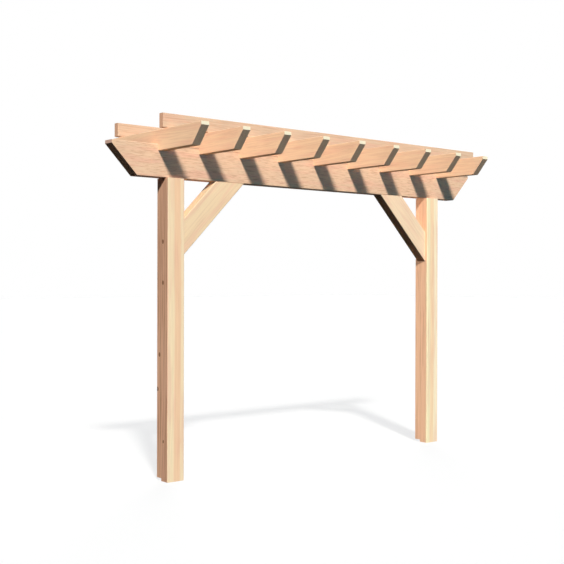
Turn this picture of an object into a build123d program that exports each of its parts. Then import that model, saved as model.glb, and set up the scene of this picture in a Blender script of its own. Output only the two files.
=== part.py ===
from build123d import *
import os

# Garden pergola of planed softwood: two posts, a beam along the top, two knee braces,
# nine cross rafters notched over the beam and two long battens on top of the rafters.
# Millimetres. X runs along the beam, Y from front to back, Z up. The origin is at the
# middle of the left post, on the face that its foot stands on.

# Posts
post_width = 140.0
post_depth = 140.0
clear_height = 2150.0
post_spacing = 2708.0
foot_step_height = 20.0
foot_step_depth = 60.0

# Beam, centred on the post tops, its ends cut back underneath below a square nose
beam_thickness = 90.0
beam_height = 232.0
beam_overhang = 437.0
beam_nose = 23.0
beam_cut_run = 202.0

# Knee braces, from the inner faces of the posts to the underside of the beam
brace_thickness = 90.0
brace_width = 183.0
brace_drop = 555.0
brace_reach = 555.0

# Rafters across the beam, evenly spaced but for a narrower bay at each end
rafter_count = 9
rafter_thickness = 64.0
rafter_height = 148.0
rafter_bay = 370.0
rafter_end_bay = 348.0
rafter_front_reach = 566.0
rafter_back_reach = 566.0
rafter_nose = 24.0
rafter_cut_run = 106.0
notch_depth = 47.0
notch_clearance = 0.5

# Battens on edge along the tops of the rafters, running on further past the right one
batten_thickness = 45.0
batten_height = 100.0
batten_left_overhang = 38.0
batten_right_overhang = 302.0
front_batten_place = -141.0
back_batten_place = 463.0

# Planed timber has its long edges eased by a small chamfer
post_edge = 4.0
beam_edge = 3.0
brace_edge = 3.0
rafter_edge = 2.5
batten_edge = 2.0

# Places that follow from the sizes above
frame_middle = post_spacing / 2
outer_width = post_spacing + post_width
beam_length = outer_width + 2 * beam_overhang
beam_top = clear_height + beam_height
rafter_bottom = beam_top - notch_depth
rafter_top = rafter_bottom + rafter_height
rafter_span = (rafter_count - 3) * rafter_bay + 2 * rafter_end_bay
first_rafter = frame_middle - rafter_span / 2
last_rafter = frame_middle + rafter_span / 2


def block(x_range, y_range, z_range):
    """A box between two places on each axis."""
    size = [high - low for low, high in (x_range, y_range, z_range)]
    corner = Location((x_range[0], y_range[0], z_range[0]))
    return corner * Box(*size, align=(Align.MIN, Align.MIN, Align.MIN))


def eased(timber, axis, edge):
    """Chamfers the four long edges of a square-cut timber."""
    return chamfer(timber.edges().filter_by(axis), edge)


def prism_along_y(points, y_low, y_high):
    """A closed outline of (x, z) points, made solid between two places on Y."""
    outline = make_face(Polyline(*[(x, y_low, z) for x, z in points], close=True))
    return extrude(outline, amount=y_high - y_low, dir=(0, 1, 0))


def prism_along_x(points, x_low, x_high):
    """A closed outline of (y, z) points, made solid between two places on X."""
    outline = make_face(Polyline(*[(x_low, y, z) for y, z in points], close=True))
    return extrude(outline, amount=x_high - x_low, dir=(1, 0, 0))


def post(x_centre):
    """A square post whose foot is cut shorter along its back, to clear a raised edge."""
    x_range = (x_centre - post_width / 2, x_centre + post_width / 2)
    y_range = (-post_depth / 2, post_depth / 2)
    shaft = eased(block(x_range, y_range, (0, clear_height)), Axis.Z, post_edge)
    step = block(
        (x_range[0] - 1, x_range[1] + 1),
        (post_depth / 2 - foot_step_depth, post_depth / 2 + 1),
        (-1, foot_step_height),
    )
    return shaft - step


def beam():
    """The main beam, with both ends undercut up to a square nose."""
    x_low = frame_middle - beam_length / 2
    x_high = frame_middle + beam_length / 2
    half = beam_thickness / 2
    timber = eased(block((x_low, x_high), (-half, half), (clear_height, beam_top)), Axis.X, beam_edge)
    nose_bottom = beam_top - beam_nose
    for tip, inward in ((x_low, 1), (x_high, -1)):
        waste = [
            (tip - inward, clear_height - 1),
            (tip - inward, nose_bottom),
            (tip, nose_bottom),
            (tip + inward * beam_cut_run, clear_height),
            (tip + inward * beam_cut_run, clear_height - 1),
        ]
        timber -= prism_along_y(waste, -half - 1, half + 1)
    return timber


def brace(face_x, inward):
    """A knee brace whose ends meet the post and the beam flat, with its long edges eased."""
    slope_length = (brace_drop**2 + brace_reach**2) ** 0.5
    inner_share = 1 - brace_width * slope_length / (brace_drop * brace_reach)
    outline = [
        (face_x, clear_height - brace_drop),
        (face_x + inward * brace_reach, clear_height),
        (face_x + inward * brace_reach * inner_share, clear_height),
        (face_x, clear_height - brace_drop * inner_share),
    ]
    timber = prism_along_y(outline, -brace_thickness / 2, brace_thickness / 2)
    slope = Axis((0, 0, 0), (inward * brace_reach, 0, brace_drop))
    return eased(timber, slope, brace_edge)


def rafter(x_centre):
    """A cross rafter, notched down over the beam, with both tails undercut to a nose."""
    x_low = x_centre - rafter_thickness / 2
    x_high = x_centre + rafter_thickness / 2
    timber = eased(
        block((x_low, x_high), (-rafter_front_reach, rafter_back_reach), (rafter_bottom, rafter_top)),
        Axis.Y,
        rafter_edge,
    )
    nose_bottom = rafter_top - rafter_nose
    for tip, inward in ((-rafter_front_reach, 1), (rafter_back_reach, -1)):
        waste = [
            (tip - inward, rafter_bottom - 1),
            (tip - inward, nose_bottom),
            (tip, nose_bottom),
            (tip + inward * rafter_cut_run, rafter_bottom),
            (tip + inward * rafter_cut_run, rafter_bottom - 1),
        ]
        timber -= prism_along_x(waste, x_low - 1, x_high + 1)
    notch_half = beam_thickness / 2 + notch_clearance
    notch = block((x_low - 1, x_high + 1), (-notch_half, notch_half), (rafter_bottom - 1, beam_top))
    return timber - notch


def batten(y_centre):
    """A batten on edge across the tops of all the rafters."""
    x_range = (
        first_rafter - rafter_thickness / 2 - batten_left_overhang,
        last_rafter + rafter_thickness / 2 + batten_right_overhang,
    )
    y_range = (y_centre - batten_thickness / 2, y_centre + batten_thickness / 2)
    return eased(block(x_range, y_range, (rafter_top, rafter_top + batten_height)), Axis.X, batten_edge)


pieces = {
    "post_left": post(0),
    "post_right": post(post_spacing),
    "beam": beam(),
    "brace_left": brace(post_width / 2, 1),
    "brace_right": brace(post_spacing - post_width / 2, -1),
    "batten_front": batten(front_batten_place),
    "batten_back": batten(back_batten_place),
}
inner_rafters = [first_rafter + rafter_end_bay + bay * rafter_bay for bay in range(rafter_count - 2)]
for number, place in enumerate([first_rafter, *inner_rafters, last_rafter], start=1):
    pieces[f"rafter_{number}"] = rafter(place)

os.makedirs("parts", exist_ok=True)
for node, solid in pieces.items():
    export_step(solid, f"parts/{node}.step")
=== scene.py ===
import math

import bpy
import numpy as np
from mathutils import Matrix, Vector


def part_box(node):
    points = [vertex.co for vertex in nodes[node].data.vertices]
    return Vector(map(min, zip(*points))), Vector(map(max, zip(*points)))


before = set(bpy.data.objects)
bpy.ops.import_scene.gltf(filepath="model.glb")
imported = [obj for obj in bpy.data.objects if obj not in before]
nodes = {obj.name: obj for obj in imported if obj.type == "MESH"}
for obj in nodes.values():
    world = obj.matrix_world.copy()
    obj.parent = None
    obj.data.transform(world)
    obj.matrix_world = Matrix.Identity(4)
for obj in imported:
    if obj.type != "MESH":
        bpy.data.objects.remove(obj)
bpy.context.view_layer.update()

# Posts
# Two square posts of planed softwood, standing on their sawn feet, with a step cut into the
# back of each foot. They were sawn from the side of a wide log: the left face is the nearest
# to its heart, pinker and knottier, and the front shows cream and peach bands of later growth.


def linear(hex_colour):
    """sRGB to linear light: c / 12.92 for the darkest tones, else ((c + 0.055) / 1.055) ** 2.4."""
    srgb = np.array([int(hex_colour[start : start + 2], 16) for start in (1, 3, 5)]) / 255
    rgb = np.where(srgb <= 0.04045, srgb / 12.92, ((srgb + 0.055) / 1.055) ** 2.4)
    return (*rgb.tolist(), 1.0)


def emptied_tree(owner):
    """The node tree of a material or a world, with nothing in it."""
    owner.use_nodes = True
    owner.node_tree.nodes.clear()
    return owner.node_tree


def add(tree, kind, inputs, **settings):
    """Adds a node with its settings, and fills its sockets with values or links.

    Sockets go by name or by number. A colour Mix has its share at 0 and its colours at 6 and
    7. A Map Range takes its value, 0, from the span between 1 and 2 to that from 3 to 4.
    """
    made = tree.nodes.new("ShaderNode" + kind)
    for name, value in settings.items():
        setattr(made, name, value)
    for socket, value in inputs.items():
        if isinstance(value, bpy.types.Node):
            value = value.outputs[0]
        if isinstance(value, bpy.types.NodeSocket):
            tree.links.new(value, made.inputs[socket])
        else:
            made.inputs[socket].default_value = value
    return made


SOFT_STEP = {"interpolation_type": "SMOOTHSTEP"}


def from_the_pith(tree, timber, pith, seed):
    """A point of the timber, measured in metres from the log's pith.

    The pith wanders by up to 10 mm to each side, over a metre or so of length, and the rings
    are uneven by up to 5 mm, in waves 110 mm wide and 600 mm long. The seed moves both noises.
    """
    wander = 0.010
    middle = (-wander - pith[0], -wander - pith[1], 0.0)
    length = add(tree, "SeparateXYZ", {0: timber}).outputs["Z"]
    place = add(tree, "Math", {0: length, 1: 0.9, 2: seed * 5.3}, operation="MULTIPLY_ADD")
    drift = add(tree, "TexNoise", {"W": place, "Scale": 1.0, "Detail": 1.0}, noise_dimensions="1D")
    shift = add(
        tree, "VectorMath",
        {0: drift.outputs["Color"], 1: (2 * wander, 2 * wander, 0.0), 2: middle},
        operation="MULTIPLY_ADD",
    )
    unevenness = 0.005
    place = add(
        tree, "Mapping", {"Vector": timber, "Location": (seed, seed * 2, 0), "Scale": (9, 9, 1.6)}
    )
    wave = add(tree, "TexNoise", {"Vector": place, "Scale": 1.0, "Detail": 2.0})
    ripple = add(
        tree, "VectorMath",
        {0: wave.outputs["Color"], 1: (2 * unevenness, 2 * unevenness, 0.0),
         2: (-unevenness, -unevenness, 0.0)},
        operation="MULTIPLY_ADD",
    )
    straight = add(tree, "VectorMath", {0: timber, 1: shift}, operation="ADD")
    return add(tree, "VectorMath", {0: straight, 1: ripple}, operation="ADD")


WHORL = 0.29               # metres of trunk from one ring of branches to the next, a year's growth


def branch_knots(tree, log, pith, seed, share, size):
    """The distance from the nearest knot's middle, and that knot's radius, both in whorls.

    A pattern of cells, a whorl wide and high, is wrapped round the pith, at the timber's mean
    distance from it. A share of the cells has a knot, in up to a fifth of all cells smaller
    than full size. None crosses the seam behind the pith, where the angle jumps by a turn.
    """
    parts = add(tree, "SeparateXYZ", {0: log})
    angle = add(tree, "Math", {0: parts.outputs["Y"], 1: parts.outputs["X"]}, operation="ARCTAN2")
    reach = math.hypot(*pith)
    across = add(tree, "Math", {0: angle, 1: reach / WHORL, 2: seed * 3.1}, operation="MULTIPLY_ADD")
    along = add(
        tree, "Math", {0: parts.outputs["Z"], 1: 1 / WHORL, 2: seed * 7.7}, operation="MULTIPLY_ADD"
    )
    place = add(tree, "CombineXYZ", {"X": across, "Y": along})
    cell = add(
        tree, "TexVoronoi", {"Vector": place, "Scale": 1.0, "Randomness": 0.5}, voronoi_dimensions="2D"
    )
    chance = add(tree, "SeparateXYZ", {0: cell.outputs["Color"]})
    grown = add(tree, "MapRange", {0: chance, 1: 1 - share, 2: 1.2 - share, 3: 0.0, 4: size / WHORL})
    turn = add(tree, "Math", {0: angle}, operation="ABSOLUTE")
    off_the_seam = add(tree, "MapRange", {0: turn, 1: 2.7, 2: 3.0, 3: 1.0, 4: 0.0}, **SOFT_STEP)
    radius = add(tree, "Math", {0: grown, 1: off_the_seam}, operation="MULTIPLY")
    never_zero = add(tree, "Math", {0: radius, 1: 0.0001}, operation="MAXIMUM")
    return cell.outputs["Distance"], never_zero


RING_WIDTH = 0.006         # metres of growth in a year, as in fast-grown timber


def growth_rings(tree, radius, seed):
    """0 in the pale early wood, rising through each year to 1 at the thin line that ends it.

    A noise that changes over about 18 mm of radius shifts the rings by up to 2.4 years, so
    that some years are wide and others narrow.
    """
    place = add(tree, "Math", {0: radius, 1: 55.0, 2: seed * 9.1}, operation="MULTIPLY_ADD")
    noise = add(tree, "TexNoise", {"W": place, "Scale": 1.0, "Detail": 2.0}, noise_dimensions="1D")
    uneven = add(tree, "Math", {0: noise, 1: 2.4}, operation="MULTIPLY")
    age = add(tree, "Math", {0: radius, 1: 1 / RING_WIDTH, 2: uneven}, operation="MULTIPLY_ADD")
    year = add(tree, "Math", {0: age}, operation="FRACT")
    return add(tree, "MapRange", {0: year, 1: 0.3, 2: 0.95, 3: 0.0, 4: 1.0}, **SOFT_STEP)


LOG_RADIUS = 0.30          # metres from the pith at which the ramp of the log's zones ends


def zones_of_the_log(tree, radius, zones):
    """A ramp from the heart outwards, with the zone's colour and, as alpha, its streakiness."""
    spread = add(tree, "Math", {0: radius, 1: 1 / LOG_RADIUS}, operation="MULTIPLY")
    ramp = add(tree, "ValToRGB", {0: spread})
    ramp.color_ramp.interpolation = "EASE"
    stops = ramp.color_ramp.elements
    while len(stops) < len(zones):
        stops.new(0.5)
    for stop, (millimetres, colour, streakiness) in zip(stops, zones):
        stop.position = millimetres / 1000 / LOG_RADIUS
        stop.color = (*linear(colour)[:3], streakiness)
    return ramp


def knot_wood(tree, distance, span, fibre):
    """A knot's own wood: uneven rings about 4 mm apart, and a dark rim of old bark."""
    uneven = add(tree, "Math", {0: fibre, 1: 2.5}, operation="MULTIPLY")
    rings = add(
        tree, "Math", {0: distance, 1: math.tau * WHORL / 0.004, 2: uneven}, operation="MULTIPLY_ADD"
    )
    rings = add(tree, "Math", {0: rings}, operation="SINE")
    pale = add(tree, "MapRange", {0: rings, 1: -1.0, 2: 1.0, 3: 0.0, 4: 0.6})
    wood = add(tree, "Mix", {0: pale, 6: linear("#a06f53"), 7: linear("#b98668")}, data_type="RGBA")
    bark = add(tree, "MapRange", {0: span, 1: 0.65, 2: 0.9, 3: 0.0, 4: 0.8}, **SOFT_STEP)
    return add(tree, "Mix", {0: bark, 6: wood.outputs[2], 7: linear("#6d4836")}, data_type="RGBA")


def ends_and_edges(tree, normal, grain, streak):
    """How far a face is a square-cut end, and how far it is an eased edge, rubbed in streaks.

    Turned to the grain, an end faces along Z, and an eased long edge between X and Y.
    """
    facing = add(tree, "Mapping", {"Vector": normal, "Rotation": grain}, vector_type="TEXTURE")
    sides = add(tree, "SeparateXYZ", {0: facing})
    endwards = add(tree, "Math", {0: sides.outputs["Z"]}, operation="ABSOLUTE")
    end = add(tree, "MapRange", {0: endwards, 1: 0.88, 2: 0.97, 3: 0.0, 4: 0.8})
    edge = add(tree, "Math", {0: sides.outputs["X"], 1: sides.outputs["Y"]}, operation="MULTIPLY")
    edge = add(tree, "Math", {0: edge}, operation="ABSOLUTE")
    edge = add(tree, "Math", {0: edge, 1: streak}, operation="MULTIPLY")
    rubbed = add(tree, "MapRange", {0: edge, 1: 0.10, 2: 0.30, 3: 0.0, 4: 0.25})
    return end, rubbed


def softwood(name, zones, grain, centre, pith, seed, figure=0.15, knots=(0.35, 0.014),
             streaks=(0.012, 0.40), blush=0.35, cut="#cba085"):
    """Bare planed softwood, sawn along the grain of one log: matt, warm and softly streaked.

    A point's distance from the pith gives its growth ring and its zone of the log. Zones are
    (millimetres from the pith, colour, streakiness), knots are (share of cells, radius) and
    streaks are (width, length), both in metres. Figure is the strength of the late wood,
    blush that of the pink patches, and cut is the colour of the square-cut ends. The grain
    runs along Z, turned by the angles in grain, and pith is how far the log's pith lies to
    the side of the line through centre.
    """
    material = bpy.data.materials.new(name)
    tree = emptied_tree(material)
    place = add(tree, "TexCoord", {})
    timber = add(
        tree, "Mapping", {"Vector": place.outputs["Object"], "Location": centre, "Rotation": grain},
        vector_type="TEXTURE",
    )
    log = from_the_pith(tree, timber, pith, seed)
    flat = add(tree, "VectorMath", {0: log, 1: (1.0, 1.0, 0.0)}, operation="MULTIPLY")
    radius = add(tree, "VectorMath", {0: flat}, operation="LENGTH").outputs["Value"]

    # The rings bulge outwards round a knot, out to four times its radius
    distance, knot_radius = branch_knots(tree, log, pith, seed, *knots)
    span = add(tree, "Math", {0: distance, 1: knot_radius}, operation="DIVIDE")
    knot = add(tree, "MapRange", {0: span, 1: 1.1, 2: 0.8, 3: 0.0, 4: 1.0}, **SOFT_STEP)
    swell = add(tree, "MapRange", {0: span, 1: 4.0, 2: 0.6, 3: 0.0, 4: 0.4}, **SOFT_STEP)
    bulge = add(tree, "Math", {0: swell, 1: knot_radius}, operation="MULTIPLY")
    radius = add(tree, "Math", {0: radius, 1: bulge}, operation="SUBTRACT")
    late_wood = growth_rings(tree, radius, seed)
    zone = zones_of_the_log(tree, radius, zones)

    # Pink blushes lie in patches about 45 mm across and ten times as long
    place_of_blush = add(
        tree, "Mapping", {"Vector": log, "Location": (0, seed, seed), "Scale": (22, 22, 2.2)}
    )
    patch = add(tree, "TexNoise", {"Vector": place_of_blush, "Scale": 1.0, "Detail": 2.0})
    pink = add(tree, "MapRange", {0: patch, 1: 0.45, 2: 0.68, 3: 0.0, 4: blush}, **SOFT_STEP)
    tone = add(tree, "Mix", {0: pink, 6: zone, 7: linear("#eab096")}, data_type="RGBA")
    late_share = add(tree, "Math", {0: late_wood, 1: figure}, operation="MULTIPLY")
    tone = add(
        tree, "Mix", {0: late_share, 6: tone.outputs[2], 7: linear("#d9a07e")}, data_type="RGBA"
    )

    # Brown streaks run along the grain, where the zone has them
    width, length = streaks
    place_of_streak = add(
        tree, "Mapping",
        {"Vector": log, "Location": (seed, 0, 0), "Scale": (1 / width, 1 / width, 1 / length)},
    )
    streak = add(
        tree, "TexNoise", {"Vector": place_of_streak, "Scale": 1.0, "Detail": 3.0, "Roughness": 0.65}
    )
    brown = add(
        tree, "MapRange", {0: streak, 1: 0.46, 2: 0.68, 3: 0.0, 4: zone.outputs["Alpha"]}, **SOFT_STEP
    )
    tone = add(tree, "Mix", {0: brown, 6: tone.outputs[2], 7: linear("#b07558")}, data_type="RGBA")

    # Fibres are drawn 3 mm wide, far coarser than real ones, which would not show
    place_of_fibre = add(tree, "Mapping", {"Vector": log, "Scale": (320, 320, 5)})
    fibre = add(
        tree, "TexNoise", {"Vector": place_of_fibre, "Scale": 1.0, "Detail": 4.0, "Roughness": 0.6}
    )
    shade = add(tree, "MapRange", {0: fibre, 1: 0.25, 2: 0.75, 3: 0.93, 4: 1.06})
    tone = add(tree, "VectorMath", {0: tone.outputs[2], 1: shade}, operation="MULTIPLY")
    heart = knot_wood(tree, distance, span, fibre)
    tone = add(tree, "Mix", {0: knot, 6: tone, 7: heart.outputs[2]}, data_type="RGBA")

    # Square-cut ends have a colour of their own, and the eased long edges are rubbed paler
    end, rubbed = ends_and_edges(tree, place.outputs["Normal"], grain, streak)
    tone = add(tree, "Mix", {0: end, 6: tone.outputs[2], 7: linear(cut)}, data_type="RGBA")
    tone = add(tree, "Mix", {0: rubbed, 6: tone.outputs[2], 7: linear("#fbe3c4")}, data_type="RGBA")

    # The planed faces are matt and a little uneven, with proud late wood, and the ends rougher
    sheen = add(tree, "MapRange", {0: fibre, 1: 0.3, 2: 0.7, 3: 0.70, 4: 0.84})
    roughness = add(tree, "Math", {0: end, 1: 0.1, 2: sheen}, operation="MULTIPLY_ADD")
    relief = add(tree, "Math", {0: late_wood, 1: 0.5, 2: fibre}, operation="MULTIPLY_ADD")
    bump = add(tree, "Bump", {"Height": relief, "Strength": 0.35, "Distance": 0.0006})
    shader = add(
        tree, "BsdfPrincipled",
        {"Base Color": tone.outputs[2], "Roughness": roughness, "Normal": bump, "IOR": 1.45,
         "Specular IOR Level": 0.08},
    )
    add(tree, "OutputMaterial", {"Surface": shader})
    return material


def dress(node, zones, grain, pith, seed, **looks):
    """Gives a CAD node its own timber, with its grain through the middle of the node's box."""
    low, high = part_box(node)
    centre = tuple((np.array(low) + np.array(high)) / 2)
    mesh = nodes[node].data
    mesh.materials.clear()
    mesh.materials.append(softwood(f"planed softwood {node}", zones, grain, centre, pith, seed, **looks))


# The left post's seed lets several knots fall on its left face and none on its front
UPRIGHT = (0.0, 0.0, 0.0)
dress(
    "post_left",
    ((0, "#f8c29f", 0.6), (143, "#ffcba8", 0.6), (152, "#f6dab1", 0.1), (190, "#f6dab1", 0.1),
     (206, "#f3c8a0", 0.1), (240, "#f3c8a0", 0.1), (256, "#f5d9b2", 0.05), (290, "#f5d9b2", 0.05)),
    UPRIGHT, (-0.20, 0.0), 1.0226, knots=(0.97, 0.016), streaks=(0.016, 0.9),
)
dress(
    "post_right",
    ((0, "#f4c49e", 0.3), (143, "#f8caa6", 0.3), (152, "#f8e7bb", 0.1), (182, "#f8e7bb", 0.1),
     (198, "#fbd8ac", 0.1), (222, "#fbd8ac", 0.1), (240, "#feebc6", 0.1), (290, "#fee1be", 0.1)),
    UPRIGHT, (-0.20, 0.01), 2.0, knots=(0.15, 0.012), streaks=(0.014, 0.5),
)

# Beam
# One long planed timber laid flat across the post heads, its ends cut back underneath to a
# short square nose. Short, fine pink and brown flecks cover its faces.
ALONG_X = (0.0, math.radians(90), 0.0)
dress(
    "beam",
    ((0, "#dfaa88", 0.5), (60, "#e3b491", 0.5), (150, "#e7bc9a", 0.5), (290, "#ebc3a0", 0.5)),
    ALONG_X, (0.05, 0.22), 3.0, figure=0.10, knots=(0.1, 0.010), streaks=(0.005, 0.08), blush=0.5,
    cut="#fbd0be",
)

# Knee braces
# A planed brace stands at 45 degrees in each corner between a post and the beam, with its
# ends cut to fit against both. Their wood is pale and plain, with faint peach bands.
for node, lean, seed, inner, outer in (
    ("brace_left", 45, 4.0, "#efc99f", "#f1d2aa"),
    ("brace_right", -45, 5.0, "#f4cfa8", "#f6d8b4"),
):
    dress(
        node, ((0, inner, 0.12), (290, outer, 0.12)), (0.0, math.radians(lean), 0.0), (0.03, 0.15),
        seed, figure=0.08, knots=(0.1, 0.010), streaks=(0.014, 0.5), blush=0.35,
    )

# Rafters
# Nine planed rafters lie across the beam, notched over its top edge, and their tails are cut
# back underneath to a small square nose of pale wood. Soft streaks run along their sides.
RAFTERS = 9
ALONG_Y = (math.radians(-90), 0.0, 0.0)
for number in range(1, RAFTERS + 1):
    dress(
        f"rafter_{number}",
        ((0, "#eec29b", 0.18), (90, "#f4cda8", 0.18), (290, "#f6d3b0", 0.18)),
        ALONG_Y, (0.14, 0.02 * math.sin(number)), 50.0 + number, streaks=(0.008, 0.25), blush=0.35,
        cut="#fdf1d0",
    )

# Battens
# Two planed battens run on edge along the tops of the rafters and tie them together, one a
# little in front of the beam and one near the back tails. Slightly pink wood with few knots.
for node, seed in (("batten_front", 6.0), ("batten_back", 7.0)):
    dress(
        node, ((0, "#dcb192", 0.3), (90, "#e1bb9b", 0.3), (290, "#e5c2a1", 0.3)),
        ALONG_X, (0.04, 0.14), seed, knots=(0.15, 0.010), streaks=(0.010, 0.35), blush=0.4,
    )

# Floor
# A plain pale studio floor, far wider than the object. The camera sees it white, with a faint
# shadow. It throws little light back, so that undersides stay dark.


def put(name, data):
    """Puts an object with this data into the scene."""
    made = bpy.data.objects.new(name, data)
    bpy.context.scene.collection.objects.link(made)
    return made


def background_share(tree):
    """1 for rays of the camera, of gloss and of glass, which see the background white, else 0."""
    rays = add(tree, "LightPath", {}).outputs
    seen = add(tree, "Math", {0: rays["Is Camera Ray"], 1: rays["Is Glossy Ray"]}, operation="MAXIMUM")
    return add(tree, "Math", {0: seen, 1: rays["Is Transmission Ray"]}, operation="MAXIMUM")


FLOOR_HALF = 60.0          # metres from the middle to each side
corners = np.array([(-1, -1, 0), (1, -1, 0), (1, 1, 0), (-1, 1, 0)]) * FLOOR_HALF
floor_mesh = bpy.data.meshes.new("floor")
floor_mesh.from_pydata(corners.tolist(), [], [(0, 1, 2, 3)])
floor = put("floor", floor_mesh)

# Matt floor paint: three parts of even white glow to one part of pale paint, which takes the shadow
floor_paint = bpy.data.materials.new("matt floor paint")
tree = emptied_tree(floor_paint)
glow = add(tree, "Emission", {"Color": (1.0, 1.0, 1.0, 1.0), "Strength": 1.0})
paint = add(tree, "BsdfDiffuse", {"Color": (0.9, 0.9, 0.9, 1.0)})
pale = add(tree, "MixShader", {0: 0.25, 1: glow, 2: paint})
dark = add(tree, "BsdfDiffuse", {"Color": (0.01, 0.01, 0.01, 1.0)})
shader = add(tree, "MixShader", {0: background_share(tree), 1: dark, 2: pale})
add(tree, "OutputMaterial", {"Surface": shader})
floor_paint.cycles.emission_sampling = "NONE"
floor_mesh.materials.append(floor_paint)

# Light
# A key lamp from the upper left in front, with fills from the left, the front and the back
# and a dim sky. The key is two lamps in one direction, so that the rafters shade the beam
# alone. The left fill lights only the right post, the rafters and the battens.


def lamp(name, travel, strength, softness, colour):
    """A distant lamp whose light travels along a direction, with its angular size in degrees."""
    light = bpy.data.lights.new(name, "SUN")
    light.energy = strength
    light.angle = math.radians(softness)
    light.color = linear(colour)[:3]
    made = put(name, light)
    made.rotation_euler = Vector(travel).to_track_quat("-Z", "Y").to_euler()
    return made


def group(name, pieces):
    """A collection of pieces, for a lamp that lights or is shaded by these alone."""
    made = bpy.data.collections.new(name)
    for piece in pieces:
        made.objects.link(piece)
    return made


beam = nodes["beam"]
lower = [nodes[name] for name in ("post_left", "post_right", "brace_left", "brace_right")]
upper = [made for name, made in nodes.items() if name.startswith(("rafter", "batten"))]
for name, softness, lit, shading in (
    ("key on the beam", 8.0, [beam], [beam, *lower, *upper]),
    ("key on the rest", 4.5, [*lower, *upper, floor], [beam, *lower]),
):
    key = lamp(name, (0.57, 1.10, -1.0), 4.2, softness, "#fffdf8")
    key.light_linking.receiver_collection = group(f"{name} lit", lit)
    key.light_linking.blocker_collection = group(f"{name} shading", shading)

front_fill = lamp("cool front fill", (0.0, 1.0, -0.5), 0.75, 10.0, "#73ceff")
back_fill = lamp("back fill", (-0.9, -1.0, -0.4), 2.6, 30.0, "#fff1e8")
left_fill = lamp("left fill", (1.0, 0.0, -0.1), 1.05, 4.0, "#fff8f2")
left_fill.light_linking.receiver_collection = group("left fill lit", [nodes["post_right"], *upper])
for fill in (front_fill, back_fill, left_fill):
    fill.data.use_shadow = False

world = bpy.data.worlds.new("studio")
tree = emptied_tree(world)
white = add(tree, "Background", {"Color": (1.0, 1.0, 1.0, 1.0), "Strength": 1.0})
sky = add(tree, "Background", {"Color": linear("#e4f0ff"), "Strength": 0.06})
shader = add(tree, "MixShader", {0: background_share(tree), 1: sky, 2: white})
add(tree, "OutputWorld", {"Surface": shader})
world.cycles.sampling_method = "NONE"
bpy.context.scene.world = world

# Camera
# Just under eye height, in front of the left post and to its left, looking almost level along
# the frame towards its right end. The picture is square.
PICTURE_WIDTH = 564
FOCAL_PIXELS = 996.7
EYE = (-3.9525, -5.9614, 1.4400)
HEADING = math.radians(39.92)
TILT = math.radians(-0.20)
ROLL = math.radians(0.13)
camera = bpy.data.cameras.new("camera")
camera.sensor_width = 36.0
camera.lens = FOCAL_PIXELS / PICTURE_WIDTH * camera.sensor_width
eye = put("camera", camera)
eye.matrix_world = (
    Matrix.Translation(EYE)
    @ Matrix.Rotation(-HEADING, 4, "Z")
    @ Matrix.Rotation(math.radians(90) + TILT, 4, "X")
    @ Matrix.Rotation(ROLL, 4, "Z")
)
bpy.context.scene.camera = eye

bpy.context.scene.view_settings.view_transform = "Standard"
